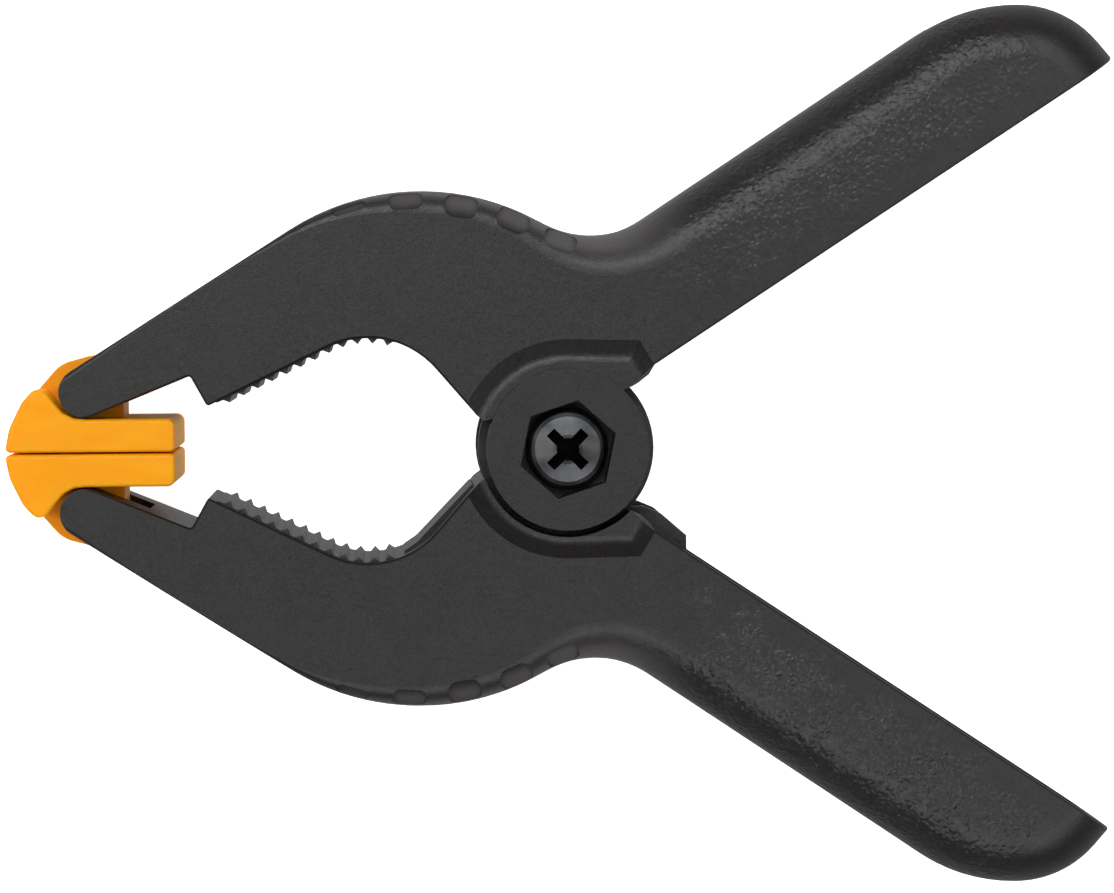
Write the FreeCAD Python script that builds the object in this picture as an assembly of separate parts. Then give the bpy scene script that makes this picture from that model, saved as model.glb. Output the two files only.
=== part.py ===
import FreeCAD, Part
import math
import os

os.makedirs("parts", exist_ok=True)

V = FreeCAD.Vector
Z_AXIS = V(0, 0, 1)

# Driving dimensions, in mm. The pivot axis is X = Y = 0, the jaws point to -X and the handles to +X.
# The clamp lies on the disc round the nut, so the back disc face is Z = 0.
MID_Z = 14.7             # middle plane of the clamp
CHEEK = 12.5             # half thickness of the arms
PLATEAU = 14.5           # half thickness over the raised plateau round the pivot
PLATEAU_FOOT_R = 16.4
PLATEAU_CREST_R = 13.7
CREST_ROUND = 2.2
DISC_FACE = 14.7         # half thickness over the pivot discs
DISC_INNER = 8.3         # inner face of the upper arm's discs
DISC_R = 12.0
EAR_R = 13.15            # lower arm's ears, which run between the discs
EAR_OUTER = 8.05
EAR_INNER = 5.3
EAR_POCKET_R = 13.45     # room in the upper arm for the ears
DISC_POCKET_R = 13.0     # room in the lower arm for the discs
COIL_POCKET_R = 10.6     # room in the lower arm for the coil
SLEEVE_R = 4.75
SLEEVE_BORE_R = 3.3
SLEEVE_HALF = 8.2
EAR_HOLE_R = 4.8
SHANK_R = 3.175
SCREW_HOLE_R = 3.25
HEX_POCKET_AF = 12.9
HEX_POCKET_DEPTH = 4.6
NUT_AF = 12.7
HEX_TURN = 18.3          # angle of one corner of the hexagonal pockets, degrees
HEAD_R = 6.1

TIP_X, TIP_Y, TIP_R = -71.3, 8.95, 3.7   # rounded jaw tip and swivel axis of the pad
FORK_HALF = 5.25         # half width of the slot in the jaw tip
FORK_END_X = -62.2
HUB_HALF = 4.95
PIN_R = 2.0
PIN_HALF = 8.0
SOCKET_R = 2.06
SOCKET_HALF = 8.3

CHANNEL_HALF = 8.0       # half width of the channel inside each handle
EDGE_BREAK = 0.3         # small chamfer on the inner borders of the cheeks
TOOTH_PITCH = 2.35
TOOTH_COUNT = 12
TOOTH_HALF = 11.6
TOOTH_TIP = 0.95         # how far the tooth tips stand beyond the cheek edge
TOOTH_ROOT = 0.15

WIRE_R = 1.05
COIL_R = 7.3
COIL_PITCH = 2.25
LEG_ANGLE = 45.0
LEG_LENGTH = 47.0

PAD_HALF = 12.9
PAD_GAP = 0.15           # each pad's face stands this far from the closing plane
PAD_ROUND = 0.6


def halves(arc):
    """The two halves of an arc as edges, so that each can take its own crown."""
    circle = arc.toShape().Curve
    first, last = arc.FirstParameter, arc.LastParameter
    middle = (first + last) / 2
    return [Part.Edge(circle, first, middle), Part.Edge(circle, middle, last)]


def polygon_wire(points, z):
    """Closed wire through (x, y, corner radius) points, each corner rounded by an arc."""
    count = len(points)
    corners = []
    for i in range(count):
        x, y, radius = points[i]
        before = V(points[i - 1][0], points[i - 1][1], z)
        after = V(points[(i + 1) % count][0], points[(i + 1) % count][1], z)
        here = V(x, y, z)
        if radius <= 0:
            corners.append((here, None, here, 0))
            continue
        to_before = (before - here).normalize()
        to_after = (after - here).normalize()
        half = to_before.getAngle(to_after) / 2
        reach = radius / math.tan(half)
        bisector = (to_before + to_after).normalize()
        middle = here + bisector * (radius / math.sin(half) - radius)
        corners.append((here + to_before * reach, middle, here + to_after * reach, radius))
    edges = []
    for i in range(count):
        start, middle, end = corners[i][:3]
        if middle is not None:
            arc = Part.Arc(start, middle, end)
            edges += halves(arc) if corners[i][3] > 12 else [arc.toShape()]
        following = corners[(i + 1) % count][0]
        if end.distanceToPoint(following) > 1e-5:
            edges.append(Part.makeLine(end, following))
    return Part.Wire(edges)


def prism(points, z_low, z_high):
    """Straight solid over a rounded polygon."""
    face = Part.Face(polygon_wire(points, z_low))
    return face.extrude(V(0, 0, z_high - z_low))


def cylinder(radius, z_low, z_high, x=0.0, y=0.0):
    return Part.makeCylinder(radius, z_high - z_low, V(x, y, z_low), Z_AXIS)


def hexagon(across_flats, z_low, z_high):
    """Hexagonal prism on the pivot axis with a corner at HEX_TURN."""
    corner_r = across_flats / math.sqrt(3)
    points = []
    for i in range(6):
        angle = math.radians(HEX_TURN + 60 * i)
        points.append((corner_r * math.cos(angle), corner_r * math.sin(angle), 0))
    return prism(points, z_low, z_high)


def both_sides(make):
    """Shapes made on +Z and mirrored to -Z."""
    shape = make()
    return [shape, shape.mirror(V(0, 0, 0), Z_AXIS)]


def turned(x, y, degrees, centre=(9.0, 20.0)):
    """Point turned about a centre: a small turn sets one handle wider than the other."""
    a = math.radians(degrees)
    dx = x - centre[0]
    dy = y - centre[1]
    return (
        centre[0] + dx * math.cos(a) - dy * math.sin(a),
        centre[1] + dx * math.sin(a) + dy * math.cos(a),
    )


def arm_outline(spread):
    """The upper arm's side view as (x, y, corner radius); spread turns the handle outward."""
    handle = [
        (4.91, 29.39, 15.0),
        (60.6, 66.1, 26.0),
        (76.0, 66.1, 16.0),
        (83.0, 57.9, 0.0),
        (9.3, 9.95, 0.0),
    ]
    moved = []
    for x, y, radius in handle:
        tx, ty = turned(x, y, spread)
        moved.append((tx, ty, radius))
    front = [
        (-23.43, 43.83, 36.0),
    ]
    jaw = [
        (6.5, 5.0, 0.0),
        (-7.5, 1.0, 0.0),
        (-12.7, 4.6, 0.0),
        (-13.4, 5.1, 0.6),
        (-26.2, 19.9, 13.5),
        (-53.2, 6.75, 0.5),
        (-55.7, 11.3, 0.5),
        (-69.9, 5.52, 0.0),
    ]
    tip = tip_points()
    return front + moved + jaw + tip


def tip_points():
    """Points round the jaw tip circle, from its lower tangent point to its upper one."""
    points = []
    for degrees in range(-78, -225, -12):
        a = math.radians(degrees)
        points.append((TIP_X + TIP_R * math.cos(a), TIP_Y + TIP_R * math.sin(a), 0.0))
    points.append((-73.29, 12.07, 0.0))
    return points


def outer_edge(shape_edge):
    """True for an edge of the spine: the outer border of a cheek."""
    box = shape_edge.BoundBox
    if box.ZLength > 0.01:
        return False
    if abs(abs(box.ZMin) - CHEEK) > 0.01:
        return False
    middle = shape_edge.valueAt(
        (shape_edge.FirstParameter + shape_edge.LastParameter) / 2
    )
    if middle.x < -72.0:
        return False
    if middle.x < -40:
        return middle.y > 11.0 + 0.62 * (middle.x + 71)
    if middle.x < 8:
        return middle.y > 25
    return middle.y > 17.5 + 0.66 * middle.x or middle.y > 57.3


def inner_edge(shape_edge):
    """True for a straight or curved inner border of a cheek, behind the teeth or under the handle."""
    box = shape_edge.BoundBox
    if box.ZLength > 0.01 or abs(box.ZMin - CHEEK) > 0.01:
        return False
    middle = shape_edge.valueAt(
        (shape_edge.FirstParameter + shape_edge.LastParameter) / 2
    )
    on_jaw = -54 < middle.x < -14 and middle.y < 21
    on_handle = 15 < middle.x < 70 and middle.y < 12 + 0.66 * middle.x
    return on_jaw or on_handle


def crown_radii(shape_edge):
    """Crown radius at the start and end of one spine edge, growing towards the handle."""
    first = shape_edge.valueAt(shape_edge.FirstParameter)
    last = shape_edge.valueAt(shape_edge.LastParameter)
    return crown_at(first), crown_at(last)


def crown_at(point):
    stations = [
        (-75, 0.7),
        (-40.8, 1.0),
        (-23.2, 3.2),
        (-5.1, 3.9),
        (-2.9, 4.2),
        (4.5, 6.0),
        (12.3, 7.0),
        (54, 8.0),
    ]
    if point.x <= stations[0][0]:
        return stations[0][1]
    for i in range(len(stations) - 1):
        x0, r0 = stations[i]
        x1, r1 = stations[i + 1]
        if point.x <= x1:
            return r0 + (r1 - r0) * (point.x - x0) / (x1 - x0)
    return stations[-1][1]


def crowned_half(outline):
    """Half of the body, above the middle plane, with its spine edge rounded."""
    document = FreeCAD.newDocument("crown")
    base = document.addObject("Part::Feature", "base")
    base.Shape = prism(outline, 0, CHEEK)
    fillet = document.addObject("Part::Fillet", "fillet")
    fillet.Base = base
    chosen = []
    for number, shape_edge in enumerate(base.Shape.Edges, 1):
        if outer_edge(shape_edge):
            start, end = crown_radii(shape_edge)
            chosen.append((number, start, end))
    fillet.Edges = chosen
    document.recompute()
    result = fillet.Shape.Solids[0]
    FreeCAD.closeDocument(document.Name)
    return result.makeChamfer(EDGE_BREAK, [e for e in result.Edges if inner_edge(e)])


def plateau_wire(radius, corners, height):
    """Arc about the pivot, then a line through the (x, y) corners, closed under the disc."""
    start = math.radians(162)
    middle = math.radians(126)
    arc = Part.Arc(
        V(radius * math.cos(start), radius * math.sin(start), height),
        V(radius * math.cos(middle), radius * math.sin(middle), height),
        V(0, radius, height),
    )
    stops = [V(0, radius, height)] + [V(x, y, height) for x, y in corners] + [arc.StartPoint]
    edges = [arc.toShape()]
    for i in range(len(stops) - 1):
        edges.append(Part.makeLine(stops[i], stops[i + 1]))
    return Part.Wire(edges)


def plateau_blocks(outline):
    """Raised plateau round the pivot: sloping flanks, a rounded crest, flush with the arm's edge."""
    foot_corners = [(10.9, 16.2), (13.1, 12.5), (12.2, 11.0), (10.7, 9.8), (6.5, 8.0)]
    crest_corners = [(9.5, 13.5), (10.9, 10.7), (10.3, 9.9), (9.6, 9.3), (6.5, 8.0)]
    foot = plateau_wire(PLATEAU_FOOT_R, foot_corners, CHEEK - 0.1)
    crest = plateau_wire(PLATEAU_CREST_R, crest_corners, PLATEAU)
    block = Part.makeLoft([foot, crest], True, True)
    rim = []
    for shape_edge in block.Edges:
        box = shape_edge.BoundBox
        on_top = box.ZLength < 0.01 and box.ZMin > PLATEAU - 0.01
        on_arc = on_top and box.XMax < 0.1 and box.YMax > PLATEAU_CREST_R - 0.1
        on_line = on_top and box.XMin > -0.1 and box.YMin > 10.6
        if on_arc or on_line:
            rim.append(shape_edge)
    block = block.makeFillet(CREST_ROUND, rim)
    room = prism(outline, 0, PLATEAU + 1)
    room = room.fuse(Part.makeBox(12, 12, PLATEAU + 1, V(5.0, 6.5, 0)))
    block = block.common(room)
    return both_sides(lambda: block)


def path_along_teeth():
    """Points and outward normals along the jaw's inner edge where the teeth stand."""
    heading = math.atan2(19.9 - 6.75, -26.2 + 53.2)
    arc_start = (-35.37, 15.43)
    radius = 13.5
    straight = math.hypot(arc_start[0] + 53.2, arc_start[1] - 6.75)

    def at(distance):
        if distance <= straight:
            x = -53.2 + distance * math.cos(heading)
            y = 6.75 + distance * math.sin(heading)
            angle = heading
        else:
            angle = heading - (distance - straight) / radius
            centre_x = arc_start[0] + radius * math.sin(heading)
            centre_y = arc_start[1] - radius * math.cos(heading)
            x = centre_x - radius * math.sin(angle)
            y = centre_y + radius * math.cos(angle)
        return x, y, math.sin(angle), -math.cos(angle)

    return at


def tooth_strip():
    """Row of pointed teeth with rounded valleys across the inside of the jaw."""
    at = path_along_teeth()
    first = 3.2
    points = []

    def add(distance, rise):
        x, y, nx, ny = at(distance)
        points.append((x + nx * rise, y + ny * rise, 0))

    add(first - 0.75 * TOOTH_PITCH, -1.5)
    add(first - 0.75 * TOOTH_PITCH, TOOTH_ROOT)
    for i in range(TOOTH_COUNT):
        tip = first + i * TOOTH_PITCH
        add(tip - 0.30 * TOOTH_PITCH, TOOTH_ROOT + 0.05)
        add(tip, TOOTH_TIP)
        add(tip + 0.30 * TOOTH_PITCH, TOOTH_ROOT + 0.05)
        add(tip + 0.50 * TOOTH_PITCH, TOOTH_ROOT)
    last = first + (TOOTH_COUNT - 0.5) * TOOTH_PITCH
    for i in range(13):
        add(last - i * (last - first + 0.75 * TOOTH_PITCH) / 13, -1.5)
    return prism(points, -TOOTH_HALF, TOOTH_HALF)


def grip_pockets():
    """Cutters for the five shallow pockets on each shoulder of the hump."""
    stations = [
        # position on the spine, its heading, tilt of the pocket towards the cheek, share of the crown
        (-32.3, 36.4, 17.5, 44, 0.42),
        (-23.8, 38.35, 4.5, 55, 0.47),
        (-15.2, 37.75, -9.0, 55, 0.56),
        (-7.1, 35.55, -23.0, 52, 0.54),
        (-0.2, 32.6, -20.0, 46, 0.42),
    ]
    cutters = []
    for x, y, heading, tilt_degrees, share in stations:
        a = math.radians(heading)
        tilt = math.radians(tilt_degrees)
        along = V(math.cos(a), math.sin(a), 0)
        outward = V(-math.sin(a), math.cos(a), 0)
        crown = crown_at(V(x, y, 0))
        for side in (1, -1):
            normal = outward * math.cos(tilt) + Z_AXIS * (side * math.sin(tilt))
            across = along.cross(normal)
            centre = V(x, y, side * (CHEEK - crown)) - outward * crown
            floor = centre + normal * (crown - 0.75)
            half_long = 2.5
            half_wide = share * crown
            corner = half_wide * 0.7
            outline = []
            for sx, sy in ((1, 1), (-1, 1), (-1, -1), (1, -1)):
                for k in range(5):
                    t = math.radians(22.5 * k)
                    if sx * sy < 0:
                        t = math.pi / 2 - t
                    px = sx * (half_long - corner + corner * math.cos(t))
                    py = sy * (half_wide - corner + corner * math.sin(t))
                    outline.append(floor + along * px + across * py)
            outline.append(outline[0])
            face = Part.Face(Part.makePolygon(outline))
            cutters.append(face.extrude(normal * 3.0))
    return cutters


def handle_channel(spread):
    """Cutter for the channel that opens on the inner side of the handle."""
    points = [
        (-2.8, 6.5, 0),
        (-2.8, 9.2, 0),
        (2.6, 18.6, 2.0),
        (8.6, 27.8, 2.0),
        (13.5, 31.2, 3.0),
        (60.8, 62.4, 20.0),
        (73.6, 62.6, 6.0),
        (79.2, 56.4, 1.0),
        (81.5, 50.0, 0),
        (14.0, 4.0, 0),
    ]
    moved = []
    for x, y, radius in points:
        tx, ty = turned(x, y, spread) if x > 10 else (x, y)
        moved.append((tx, ty, radius))
    return prism(moved, -CHANNEL_HALF, CHANNEL_HALF)


def fork_cutters():
    """Slot between the two cheeks of the jaw tip, and the blind sockets for the pad's pins."""
    slot = prism(
        [(-80, 0, 0), (FORK_END_X, 0, 0), (FORK_END_X, 25, 0), (-80, 25, 0)],
        -FORK_HALF,
        FORK_HALF,
    )
    socket = cylinder(SOCKET_R, -SOCKET_HALF, SOCKET_HALF, TIP_X, TIP_Y)
    return [slot, socket]


def arm_blank(spread):
    """Everything that both arm mouldings have in common, in the upper arm's place."""
    outline = arm_outline(spread)
    half = crowned_half(outline)
    body = half.fuse(half.mirror(V(0, 0, 0), Z_AXIS)).removeSplitter()
    body = body.fuse(tooth_strip())
    body = body.cut(fork_cutters() + grip_pockets())
    body = body.cut(handle_channel(spread))
    return body.fuse(plateau_blocks(outline))


def upper_arm():
    body = arm_blank(0.0)
    body = body.cut(cylinder(EAR_POCKET_R, -DISC_INNER, DISC_INNER))
    discs = both_sides(lambda: cylinder(DISC_R, DISC_INNER, DISC_FACE))
    body = body.fuse(discs)
    floor = DISC_FACE - HEX_POCKET_DEPTH
    pockets = [hexagon(HEX_POCKET_AF, floor, 16), hexagon(HEX_POCKET_AF, -16, -floor)]
    hole = cylinder(SCREW_HOLE_R, -20, 20)
    return body.cut(pockets + [hole]).removeSplitter()


def lower_arm():
    body = arm_blank(0.7)
    web = prism(
        [
            (-24.3, 18.5, 0),
            (-24.3, 15.2, 0.3),
            (-22.4, 13.95, 3.0),
            (-14.1, 5.3, 0.3),
            (-11.5, 8.0, 0),
        ],
        -8.05,
        8.05,
    )
    body = body.fuse(web)
    body = body.cut(both_sides(lambda: cylinder(DISC_POCKET_R, EAR_OUTER, 20)))
    body = body.cut(cylinder(COIL_POCKET_R, -EAR_INNER, EAR_INNER))
    ears = both_sides(lambda: cylinder(EAR_R, EAR_INNER, EAR_OUTER))
    tabs = both_sides(
        lambda: prism(
            [
                (8.0, 9.0, 0),
                (11.6, 8.9, 0.8),
                (14.2, 10.0, 1.0),
                (18.0, 13.3, 0.3),
                (18.0, 17.5, 0),
                (12.0, 14.5, 0),
            ],
            EAR_INNER,
            EAR_OUTER,
        )
    )
    body = body.fuse(ears + tabs)
    body = body.cut(cylinder(EAR_HOLE_R, -20, 20))
    return body.removeSplitter().mirror(V(0, 0, 0), V(0, 1, 0))


def pad():
    """Swivel pad of the upper jaw: wide face block with a nose, hub between the fork cheeks, two pins."""
    block = prism(
        [
            (-58.0, PAD_GAP, 0.7),
            (-58.0, 5.0, 1.2),
            (-71.3, 5.0, 0),
            (-72.9, 5.17, 0.8),
            (-74.4, 5.95, 0.8),
            (-75.6, 7.3, 0.8),
            (-77.9, 10.25, 1.5),
            (-80.4, 7.6, 4.0),
            (-82.3, 3.7, 6.0),
            (-83.0, PAD_GAP, 0.7),
        ],
        -PAD_HALF,
        PAD_HALF,
    )
    rims = []
    for shape_edge in block.Edges:
        box = shape_edge.BoundBox
        if box.ZLength < 0.01 and abs(abs(box.ZMin) - PAD_HALF) < 0.01:
            rims.append(shape_edge)
    block = block.makeFillet(PAD_ROUND, rims)
    hub = prism(
        [
            (-66.0, 3.0, 0),
            (-66.0, 14.2, 1.6),
            (-70.6, 14.35, 5.0),
            (-75.3, 13.1, 5.0),
            (-78.9, 9.0, 1.5),
            (-78.0, 3.0, 0),
        ],
        -HUB_HALF,
        HUB_HALF,
    )
    pins = cylinder(PIN_R, -PIN_HALF, PIN_HALF, TIP_X, TIP_Y)
    return block.fuse([hub, pins]).removeSplitter()


def torsion_spring():
    """Coil round the sleeve with one leg out along each handle, swept in one go."""
    start = 90 + LEG_ANGLE
    sweep = 3 * 360 + (360 - 2 * start)
    rise = COIL_PITCH * sweep / 360
    climb = COIL_PITCH / (2 * math.pi * COIL_R)
    heading = math.radians(LEG_ANGLE)
    helix = Part.makeHelix(COIL_PITCH, rise, COIL_R)
    helix.rotate(V(0, 0, 0), Z_AXIS, start)
    helix.translate(V(0, 0, -rise / 2))
    upper_root = V(-COIL_R * math.sin(heading), COIL_R * math.cos(heading), -rise / 2)
    lower_root = V(-COIL_R * math.sin(heading), -COIL_R * math.cos(heading), rise / 2)
    along_upper = V(math.cos(heading), math.sin(heading), -climb).normalize()
    along_lower = V(math.cos(heading), -math.sin(heading), climb).normalize()
    upper_end = upper_root + along_upper * LEG_LENGTH
    lower_end = lower_root + along_lower * LEG_LENGTH
    path = [Part.makeLine(upper_end, upper_root)]
    path += helix.Edges
    path.append(Part.makeLine(lower_root, lower_end))
    sweeper = Part.BRepOffsetAPI.MakePipeShell(Part.Wire(path))
    sweeper.setBiNormalMode(Z_AXIS)
    sweeper.add(Part.Wire([Part.makeCircle(WIRE_R, upper_end, along_upper)]))
    sweeper.build()
    sweeper.makeSolid()
    return sweeper.shape()


def pivot_sleeve():
    tube = cylinder(SLEEVE_R, -SLEEVE_HALF, SLEEVE_HALF)
    tube = tube.cut(cylinder(SLEEVE_BORE_R, -20, 20))
    rims = [e for e in tube.Edges if e.Closed]
    return tube.makeChamfer(0.25, rims)


def pivot_screw():
    """Pan head screw with a cross recess and thread ridges at its nut end."""
    seat = DISC_FACE - HEX_POCKET_DEPTH
    end = -14.2
    pitch = 1.27
    profile = [V(0, 0, end), V(2.5, 0, end)]
    z = end + 0.5
    while z < -4.0:
        profile.append(V(2.72, 0, z))
        profile.append(V(SHANK_R, 0, z + pitch * 0.42))
        profile.append(V(SHANK_R, 0, z + pitch * 0.58))
        z += pitch
    profile += [V(2.72, 0, z), V(SHANK_R, 0, z + 0.5), V(SHANK_R, 0, seat + 0.02)]
    profile += [V(HEAD_R, 0, seat + 0.02), V(HEAD_R, 0, seat + 1.5)]
    for degrees in (25, 50, 70):
        a = math.radians(degrees)
        profile.append(V(HEAD_R - 1.9 + 1.9 * math.cos(a), 0, seat + 1.5 + 1.9 * math.sin(a)))
    profile.append(V(2.2, 0, seat + 3.75))
    profile.append(V(0, 0, seat + 3.85))
    profile.append(profile[0])
    face = Part.Face(Part.makePolygon(profile))
    screw = face.revolve(V(0, 0, 0), Z_AXIS, 360)
    wings = []
    for degrees in (45, 135):
        wing = Part.makeBox(7.2, 1.6, 3.0, V(-3.6, -0.8, seat + 1.35))
        wing.rotate(V(0, 0, 0), Z_AXIS, degrees)
        wings.append(wing)
    core = Part.makeCone(0.9, 1.75, 2.8, V(0, 0, seat + 1.15), Z_AXIS)
    return screw.cut(wings + [core])


def pivot_nut():
    low = -14.3
    high = -DISC_FACE + HEX_POCKET_DEPTH - 0.02
    nut = hexagon(NUT_AF, low, high)
    corner_r = NUT_AF / math.sqrt(3)
    cone = Part.makeCone(NUT_AF / 2 - 0.1, corner_r + 0.35, 0.9, V(0, 0, low), Z_AXIS)
    cone = cone.fuse(cylinder(corner_r + 0.35, low + 0.9, high))
    nut = nut.common(cone)
    return nut.cut(cylinder(SCREW_HOLE_R, -20, 20))


def export(name, shape):
    placed = shape.copy()
    placed.translate(V(0, 0, MID_Z))
    placed.exportStep(os.path.join("parts", name + ".step"))
    print(name, placed.ShapeType, len(placed.Solids), placed.isValid(), round(placed.Volume, 1))


upper_pad = pad()
export("upper_arm", upper_arm())
export("lower_arm", lower_arm())
export("upper_pad", upper_pad)
export("lower_pad", upper_pad.mirror(V(0, 0, 0), V(0, 1, 0)))
export("torsion_spring", torsion_spring())
export("pivot_sleeve", pivot_sleeve())
export("pivot_screw", pivot_screw())
export("pivot_nut", pivot_nut())
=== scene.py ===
import math

import bpy
from mathutils import Matrix, Vector


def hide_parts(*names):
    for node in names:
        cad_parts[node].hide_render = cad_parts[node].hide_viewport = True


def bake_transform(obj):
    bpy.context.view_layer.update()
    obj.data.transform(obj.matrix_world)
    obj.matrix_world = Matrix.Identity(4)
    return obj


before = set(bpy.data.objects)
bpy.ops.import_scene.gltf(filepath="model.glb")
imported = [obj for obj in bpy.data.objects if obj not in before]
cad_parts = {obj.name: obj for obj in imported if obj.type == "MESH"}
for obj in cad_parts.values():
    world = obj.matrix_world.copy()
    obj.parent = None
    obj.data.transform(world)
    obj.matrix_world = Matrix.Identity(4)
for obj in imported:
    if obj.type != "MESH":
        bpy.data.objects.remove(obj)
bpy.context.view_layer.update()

MM = 0.001
MID_Z = 14.7 * MM          # height of the clamp's middle plane
CHEEK = 12.5 * MM          # half thickness of the arms
SCREW_SEAT = 24.8 * MM     # height of the screw head's seat
SHADE_LEVEL = 27.7 * MM    # painted shade darkens the screw's driver recess below this height
SHADE_R = 4.0 * MM

# Leather grain: the upper handle's direction in X and Y, then where the grain fades in, fades out
# and fades in from the handle's inner side, each as a start and an end measured from the pivot
HANDLE_RUN, HANDLE_RISE = 0.835, 0.55
GRAIN_BEGINS = (32 * MM, 46 * MM)
GRAIN_ENDS = (100 * MM, 94 * MM)
GRAIN_INNER = (9 * MM, 14 * MM)

# Painted sheen, a lighter colour on the spine of the hump: where it fades in along -X and outward
# along Y
SHEEN_ALONG = (22 * MM, 4 * MM)
SHEEN_OUTWARD = (20 * MM, 24 * MM)

# Torsion spring; its wire stops 0.1 mm short of LEG at either end
WIRE_R = 1.05 * MM
COIL_R = 7.3 * MM
COIL_PITCH = 2.25 * MM
LEG = 46.9 * MM
COIL_START = math.radians(135)
COIL_SWEEP = math.radians(3 * 360 + 90)

# Camera
CAMERA_EYE = (-25.69 * MM, 22.55 * MM, 520.5 * MM + MID_Z)
CAMERA_FORWARD = (0.04753, -0.04364, -1.0)
CAMERA_UP_HINT = (0.00698, 1.0, 0.0)
CAMERA_LENS = 110.9

nodes = {o.name: o for o in bpy.data.objects if o.type == "MESH"}


class Graph:
    """A small helper that builds a material's node tree."""

    def __init__(self, name):
        self.mat = bpy.data.materials.new(name)
        self.mat.use_nodes = True
        self.tree = self.mat.node_tree
        self.tree.nodes.clear()
        self.out = self.tree.nodes.new("ShaderNodeOutputMaterial")
        self.bsdf = self.tree.nodes.new("ShaderNodeBsdfPrincipled")
        self.tree.links.new(self.bsdf.outputs[0], self.out.inputs[0])
        self.coord = self.tree.nodes.new("ShaderNodeTexCoord").outputs["Object"]

    def put(self, socket, value):
        if isinstance(value, bpy.types.NodeSocket):
            self.tree.links.new(value, socket)
        else:
            socket.default_value = value

    def set(self, **values):
        for key, value in values.items():
            self.put(self.bsdf.inputs[key.replace("_", " ")], value)

    def noise(self, scale, detail=3.0, rough=0.5, vector=None):
        n = self.tree.nodes.new("ShaderNodeTexNoise")
        n.inputs["Scale"].default_value = scale
        n.inputs["Detail"].default_value = detail
        n.inputs["Roughness"].default_value = rough
        self.put(n.inputs["Vector"], vector or self.coord)
        return n.outputs["Fac"]

    def cells(self, scale, smoothness, vector):
        """Distance from the middles of scattered cells that melt into each other."""
        n = self.tree.nodes.new("ShaderNodeTexVoronoi")
        n.feature = "SMOOTH_F1"
        n.inputs["Scale"].default_value = scale
        n.inputs["Smoothness"].default_value = smoothness
        self.put(n.inputs["Vector"], vector)
        return n.outputs["Distance"]

    def warped(self, scale, amount):
        """Object coordinates pushed about by a coloured noise, by up to the given distance."""
        noise = self.tree.nodes.new("ShaderNodeTexNoise")
        noise.inputs["Scale"].default_value = scale
        self.put(noise.inputs["Vector"], self.coord)
        n = self.tree.nodes.new("ShaderNodeVectorMath")
        n.operation = "MULTIPLY_ADD"
        self.put(n.inputs[0], noise.outputs["Color"])
        self.put(n.inputs[1], (amount, amount, amount))
        self.put(n.inputs[2], self.coord)
        return n.outputs[0]

    def math(self, op, a, b=0.0):
        n = self.tree.nodes.new("ShaderNodeMath")
        n.operation = op
        self.put(n.inputs[0], a)
        self.put(n.inputs[1], b)
        return n.outputs[0]

    def times(self, a, b):
        return self.math("MULTIPLY", a, b)

    def remap(self, value, low, high, to_low=0.0, to_high=1.0, smooth=False):
        n = self.tree.nodes.new("ShaderNodeMapRange")
        if smooth:
            n.interpolation_type = "SMOOTHSTEP"
        self.put(n.inputs["Value"], value)
        n.inputs["From Min"].default_value = low
        n.inputs["From Max"].default_value = high
        n.inputs["To Min"].default_value = to_low
        n.inputs["To Max"].default_value = to_high
        return n.outputs["Result"]

    def mix(self, factor, a, b):
        n = self.tree.nodes.new("ShaderNodeMix")
        n.data_type = "RGBA"
        self.put(n.inputs["Factor"], factor)
        self.put(n.inputs["A"], a)
        self.put(n.inputs["B"], b)
        return n.outputs["Result"]

    def scaled(self, scale):
        n = self.tree.nodes.new("ShaderNodeMapping")
        n.inputs["Scale"].default_value = scale
        self.put(n.inputs["Vector"], self.coord)
        return n.outputs["Vector"]

    def xyz(self):
        n = self.tree.nodes.new("ShaderNodeSeparateXYZ")
        self.put(n.inputs[0], self.coord)
        return n.outputs

    def axis_distance(self):
        """Distance from the Z axis, on which the pivot lies."""
        x, y, z = self.xyz()
        return self.math("SQRT", self.math("ADD", self.times(x, x), self.times(y, y)))

    def bump(self, height, distance, strength, normal=None):
        n = self.tree.nodes.new("ShaderNodeBump")
        n.inputs["Strength"].default_value = strength
        n.inputs["Distance"].default_value = distance
        self.put(n.inputs["Height"], height)
        if normal is not None:
            self.put(n.inputs["Normal"], normal)
        return n.outputs["Normal"]


def handle_grain(g, side):
    """Share of leather grain: patchy on the handle, none elsewhere; side is -1 on the lower arm."""
    x, y, z = g.xyz()
    along = g.math("ADD", g.times(x, HANDLE_RUN), g.times(y, HANDLE_RISE * side))
    outward = g.math("SUBTRACT", g.times(y, HANDLE_RUN * side), g.times(x, HANDLE_RISE))
    ragged_along = g.math("ADD", along, g.times(g.noise(150, 2.0), 16 * MM))
    begins = g.remap(ragged_along, *GRAIN_BEGINS, smooth=True)
    ends = g.remap(ragged_along, *GRAIN_ENDS, smooth=True)
    ragged_outward = g.math("ADD", outward, g.times(g.noise(230, 2.0), 10 * MM))
    inner = g.remap(ragged_outward, *GRAIN_INNER, smooth=True)
    patch = g.remap(g.noise(120, 3.0, 0.6), 0.25, 0.65, 0.25, 1.0, smooth=True)
    return g.times(g.times(begins, ends), g.times(inner, patch))


def leather_relief(g):
    """Height of the leather grain: pebbles with wrinkles over them."""
    warped = g.warped(420, 1.6 * MM)
    cells = g.cells(1200, 0.5, warped)
    pebbles = g.math("SUBTRACT", 1.0, g.remap(cells, 0.08, 0.62, smooth=True))
    wrinkles = g.noise(840, 1.0, 0.4, warped)
    return g.math("ADD", g.times(pebbles, 0.55), g.times(wrinkles, 1.1))


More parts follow.
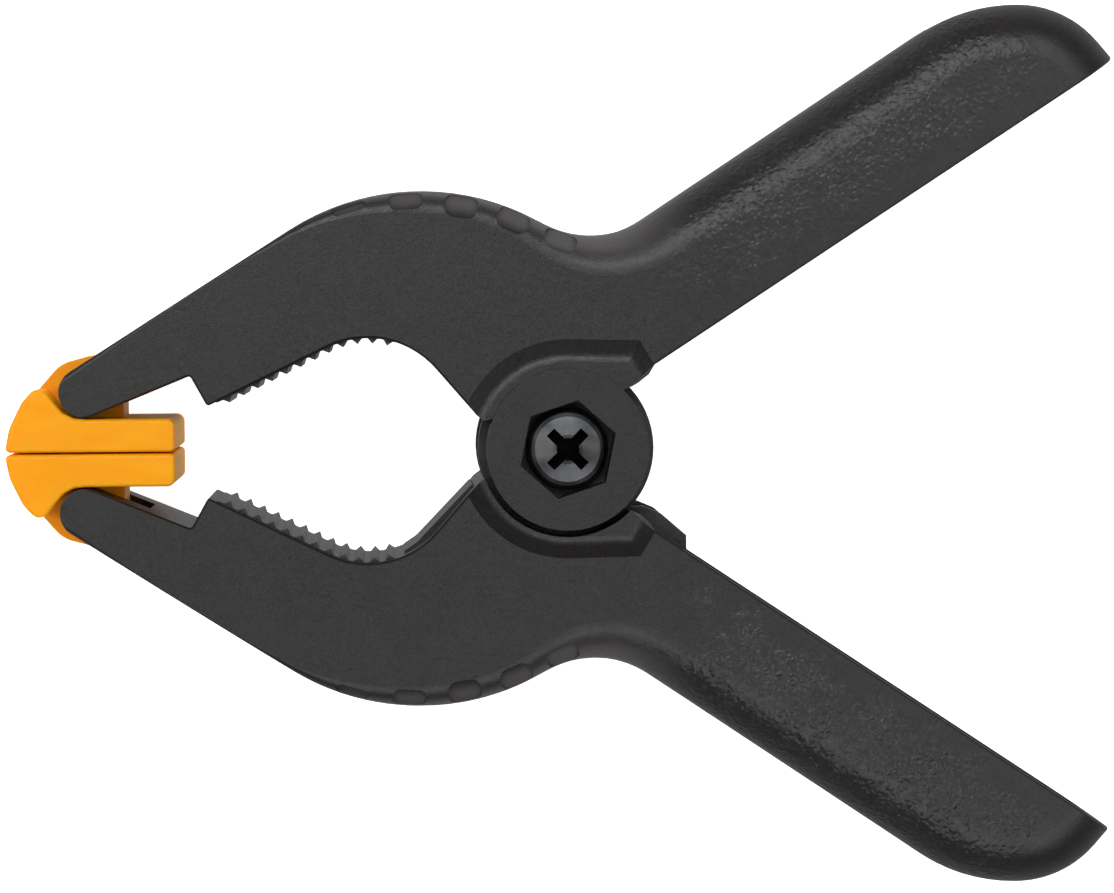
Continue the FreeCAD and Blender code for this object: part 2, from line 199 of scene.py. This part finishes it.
def spine_sheen_share(g, side, amount):
    """Share of painted sheen, a lighter colour on the rounded spine of the hump, not on the flat
    cheeks.
    """
    x, y, z = g.xyz()
    height = g.math("ABSOLUTE", g.math("SUBTRACT", z, MID_Z))
    rounded = g.remap(height, CHEEK - 0.1 * MM, CHEEK - 1.7 * MM, smooth=True)
    before_handle = g.remap(x, *SHEEN_ALONG, smooth=True)
    outer = g.remap(g.times(y, side), *SHEEN_OUTWARD)
    return g.times(g.times(rounded, g.times(before_handle, outer)), amount)


def nylon(name, side, sheen_strength, grain_depth):
    """Black glass-filled nylon: fine matte moulding texture, leather grain on the handle, painted
    sheen on the rounded spine.
    """
    g = Graph(name)
    grain = handle_grain(g, side)
    fine = g.noise(5600, 4.0, 0.65)
    middle = g.noise(1500)
    speck = g.remap(g.noise(5200, 2.0, 0.6), 0.50, 0.72)
    tone = g.remap(g.noise(240, 4.0), 0.3, 0.7)
    base = g.mix(tone, (0.0080, 0.0066, 0.0060, 1), (0.0118, 0.0098, 0.0089, 1))
    base = g.mix(g.times(speck, 0.5), base, (0.048, 0.044, 0.041, 1))
    # painted sheen: the rounded spine is coloured lighter in place of its reflection
    base = g.mix(spine_sheen_share(g, side, sheen_strength), base, (0.082, 0.074, 0.073, 1))
    rough = g.math("SUBTRACT", g.remap(middle, 0.3, 0.7, 0.34, 0.44), g.times(grain, 0.02))
    skin = g.bump(middle, 0.10 * MM, 0.35, g.bump(fine, 0.06 * MM, 0.6))
    leather = g.bump(g.times(leather_relief(g), grain), grain_depth, 0.9, skin)
    g.set(Base_Color=base, Roughness=rough, Normal=leather)
    return g.mat


def orange_plastic(name):
    """Smooth orange moulding, slightly translucent, with faint flow marks."""
    g = Graph(name)
    flow = g.noise(330, 2.0, 0.5, g.scaled((0.35, 1.0, 0.6)))
    base = g.mix(g.remap(flow, 0.3, 0.7), (1.0, 0.35, 0.0005, 1), (1.0, 0.40, 0.0006, 1))
    fine = g.noise(4200, 3.0, 0.6)
    g.set(Base_Color=base, Roughness=g.remap(flow, 0.3, 0.7, 0.36, 0.48))
    g.set(Normal=g.bump(flow, 0.10 * MM, 0.3, g.bump(fine, 0.04 * MM, 0.4)))
    g.set(Specular_IOR_Level=0.25)
    g.set(Subsurface_Weight=0.5, Subsurface_Scale=3 * MM)
    g.set(Subsurface_Radius=(1.0, 0.25, 0.03))
    return g.mat


def recess_shade_mask(g):
    """1 inside the driver recess of the screw head, where shade is painted, 0 elsewhere."""
    x, y, z = g.xyz()
    inside = g.remap(g.axis_distance(), SHADE_R, SHADE_R - 0.3 * MM)
    deep = g.remap(z, SHADE_LEVEL, SHADE_LEVEL - 0.3 * MM)
    in_head = g.remap(z, SCREW_SEAT - 0.3 * MM, SCREW_SEAT)
    return g.times(g.times(inside, deep), in_head)


def steel(name, dark, light, smoothest, roughest, stretch=(1, 1, 1), shade_recess=False):
    """Steel with a clouded plating, and painted shade in the screw's driver recess when asked for.
    """
    g = Graph(name)
    brushed = g.noise(3000, 3.0, 0.6, g.scaled(stretch))
    cloud = g.noise(260, 4.0)
    base = g.mix(g.remap(cloud, 0.3, 0.7), dark, light)
    if shade_recess:
        # painted shade: near-black colour inside the driver recess
        base = g.mix(recess_shade_mask(g), base, (0.004, 0.0038, 0.0036, 1))
    g.set(Base_Color=base)
    g.set(Roughness=g.remap(cloud, 0.3, 0.7, smoothest, roughest))
    g.set(Metallic=1.0)
    g.set(Normal=g.bump(brushed, 0.03 * MM, 0.5, g.bump(cloud, 0.06 * MM, 0.3)))
    return g.mat


finishes = {
    "upper_arm": nylon("black_nylon_upper", 1, 0.95, 0.17 * MM),
    "lower_arm": nylon("black_nylon_lower", -1, 0.7, 0.26 * MM),
    "upper_pad": orange_plastic("orange_upper"),
    "lower_pad": orange_plastic("orange_lower"),
    "torsion_spring": steel(
        "spring_wire",
        dark=(0.20, 0.19, 0.18, 1),
        light=(0.34, 0.33, 0.31, 1),
        smoothest=0.28,
        roughest=0.42,
    ),
    "pivot_sleeve": steel(
        "sleeve_steel",
        dark=(0.38, 0.38, 0.37, 1),
        light=(0.5, 0.5, 0.49, 1),
        smoothest=0.3,
        roughest=0.45,
        stretch=(1, 1, 6),
    ),
    "pivot_screw": steel(
        "screw_steel",
        dark=(0.055, 0.056, 0.058, 1),
        light=(0.135, 0.136, 0.14, 1),
        smoothest=0.30,
        roughest=0.46,
        shade_recess=True,
    ),
    "pivot_nut": steel(
        "nut_steel",
        dark=(0.33, 0.34, 0.36, 1),
        light=(0.46, 0.47, 0.5, 1),
        smoothest=0.3,
        roughest=0.45,
    ),
}
for name, mat in finishes.items():
    mesh = nodes[name].data
    for i in range(max(1, len(mesh.materials))):
        if i < len(mesh.materials):
            mesh.materials[i] = mat
        else:
            mesh.materials.append(mat)


def spring_point(distance, length, rise):
    """Point and direction of the wire's centre line; distance 0 to length is the coil."""
    climb = rise / length
    flat = COIL_SWEEP * COIL_R / length
    share = min(max(distance / length, 0.0), 1.0)
    angle = COIL_START + COIL_SWEEP * share
    height = rise * (share - 0.5)
    beyond = distance - share * length
    along = Vector((-math.sin(angle) * flat, math.cos(angle) * flat, climb))
    point = Vector((COIL_R * math.cos(angle), COIL_R * math.sin(angle), height + MID_Z))
    return point + along * beyond, along


def spring():
    """The torsion spring as a fine tube; each leg follows its own arm."""
    rise = COIL_PITCH * COIL_SWEEP / math.radians(360)
    length = math.hypot(COIL_SWEEP * COIL_R, rise)
    stations = [-LEG + 0.1 * MM, -LEG + 0.3 * MM]
    stations += [-LEG * (1 - i / 30) for i in range(1, 30)]
    stations += [length * i / 300 for i in range(301)]
    stations += [length + LEG * i / 30 for i in range(1, 30)]
    stations += [length + LEG - 0.3 * MM, length + LEG - 0.1 * MM]
    sides = 20
    last = len(stations) - 1
    verts, faces = [], []
    for k, distance in enumerate(stations):
        point, along = spring_point(distance, length, rise)
        side = along.cross(Vector((0, 0, 1))).normalized()
        up = side.cross(along)
        width = WIRE_R * (0.8 if k in (0, last) else 1.0)
        for i in range(sides):
            a = 2 * math.pi * i / sides
            verts.append(point + (side * math.cos(a) + up * math.sin(a)) * width)
    for k in range(last):
        here, following = k * sides, (k + 1) * sides
        for i in range(sides):
            j = (i + 1) % sides
            faces.append((here + i, here + j, following + j, following + i))
    faces.append(tuple(reversed(range(sides))))
    faces.append(tuple(range(last * sides, (last + 1) * sides)))
    mesh = bpy.data.meshes.new("spring_wire")
    mesh.from_pydata(verts, [], faces)
    mesh.update()
    for polygon in mesh.polygons:
        polygon.use_smooth = len(polygon.vertices) == 4
    wire_piece = bpy.data.objects.new("spring_wire", mesh)
    bpy.context.scene.collection.objects.link(wire_piece)
    mesh.materials.append(finishes["torsion_spring"])
    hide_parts("torsion_spring")
    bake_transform(wire_piece)


def painted_glow_floor():
    """Pale floor with a painted glow, brightest under the clamp where it lifts the clamp's shadow;
    glossy surfaces don't reflect it.
    """
    paper = Graph("paper_floor")
    tone = paper.remap(paper.noise(9), 0.3, 0.7)
    paper.set(
        Base_Color=paper.mix(tone, (0.88, 0.88, 0.88, 1), (0.91, 0.91, 0.91, 1)),
        Roughness=0.9,
        Specular_IOR_Level=0.1,
        Emission_Color=(1, 1, 1, 1),
        # painted glow: emission strongest under the clamp, weaker further out
        Emission_Strength=paper.remap(paper.axis_distance(), 0.16, 0.45, 0.95, 0.5, smooth=True),
    )
    bpy.ops.mesh.primitive_plane_add(size=3.0, location=(0, 0, -0.1 * MM))
    floor = bpy.context.object
    floor.name = "studio_floor"
    floor.data.materials.append(paper.mat)
    floor.visible_glossy = False


def room():
    """Surroundings that are dim above the horizon, and brighter below it and towards +Y."""
    world = bpy.data.worlds.new("studio_world")
    bpy.context.scene.world = world
    world.use_nodes = True
    tree = world.node_tree
    background = tree.nodes["Background"]
    background.inputs["Color"].default_value = (1, 1, 1, 1)
    parts = tree.nodes.new("ShaderNodeSeparateXYZ")
    tree.links.new(tree.nodes.new("ShaderNodeTexCoord").outputs["Generated"], parts.inputs[0])
    brightness = tree.nodes.new("ShaderNodeMath")
    brightness.operation = "MULTIPLY"
    ramps = (
        # component of the direction, its two ends, the brightness at each
        ("Y", -0.7, 0.8, 0.34, 0.52),
        ("Z", 0.20, -0.10, 0.16, 1.0),
    )
    for i, (component, low, high, to_low, to_high) in enumerate(ramps):
        ramp = tree.nodes.new("ShaderNodeMapRange")
        tree.links.new(parts.outputs[component], ramp.inputs["Value"])
        ramp.inputs["From Min"].default_value = low
        ramp.inputs["From Max"].default_value = high
        ramp.inputs["To Min"].default_value = to_low
        ramp.inputs["To Max"].default_value = to_high
        tree.links.new(ramp.outputs["Result"], brightness.inputs[i])
    tree.links.new(brightness.outputs[0], background.inputs["Strength"])


def softboxes():
    """Four rectangular lamps, high on four sides, aimed at the clamp."""
    lamps = (
        # name, place, width, height, power
        ("top_softbox", (-0.06, 0.40, 0.72), 0.8, 0.26, 4.0),
        ("bottom_softbox", (0.06, -0.42, 0.72), 0.8, 0.22, 2.35),
        ("left_softbox", (-0.62, 0.1, 0.72), 0.22, 0.6, 1.85),
        ("right_softbox", (0.66, 0.0, 0.72), 0.22, 0.6, 1.5),
    )
    for name, place, wide, tall, power in lamps:
        data = bpy.data.lights.new(name, "AREA")
        data.shape = "RECTANGLE"
        data.size = wide
        data.size_y = tall
        data.energy = power
        data.color = (0.96, 0.98, 1.0)
        lamp = bpy.data.objects.new(name, data)
        lamp.location = place
        aim = Vector((0, 0, 10 * MM)) - Vector(place)
        lamp.rotation_euler = aim.to_track_quat("-Z", "Y").to_euler()
        bpy.context.scene.collection.objects.link(lamp)


def camera():
    data = bpy.data.cameras.new("camera")
    data.sensor_fit = "HORIZONTAL"
    data.sensor_width = 36.0
    data.lens = CAMERA_LENS
    data.clip_start = 0.01
    data.clip_end = 20
    data.dof.use_dof = False
    cam = bpy.data.objects.new("camera", data)
    bpy.context.scene.collection.objects.link(cam)
    forward = Vector(CAMERA_FORWARD).normalized()
    right = forward.cross(Vector(CAMERA_UP_HINT)).normalized()
    up = right.cross(forward)
    turn = Matrix((right, up, -forward)).transposed()
    cam.matrix_world = Matrix.Translation(Vector(CAMERA_EYE)) @ turn.to_4x4()
    bpy.context.scene.camera = cam


spring()
painted_glow_floor()
room()
softboxes()
camera()
bpy.context.scene.view_settings.view_transform = "Standard"

bpy.context.view_layer.update()
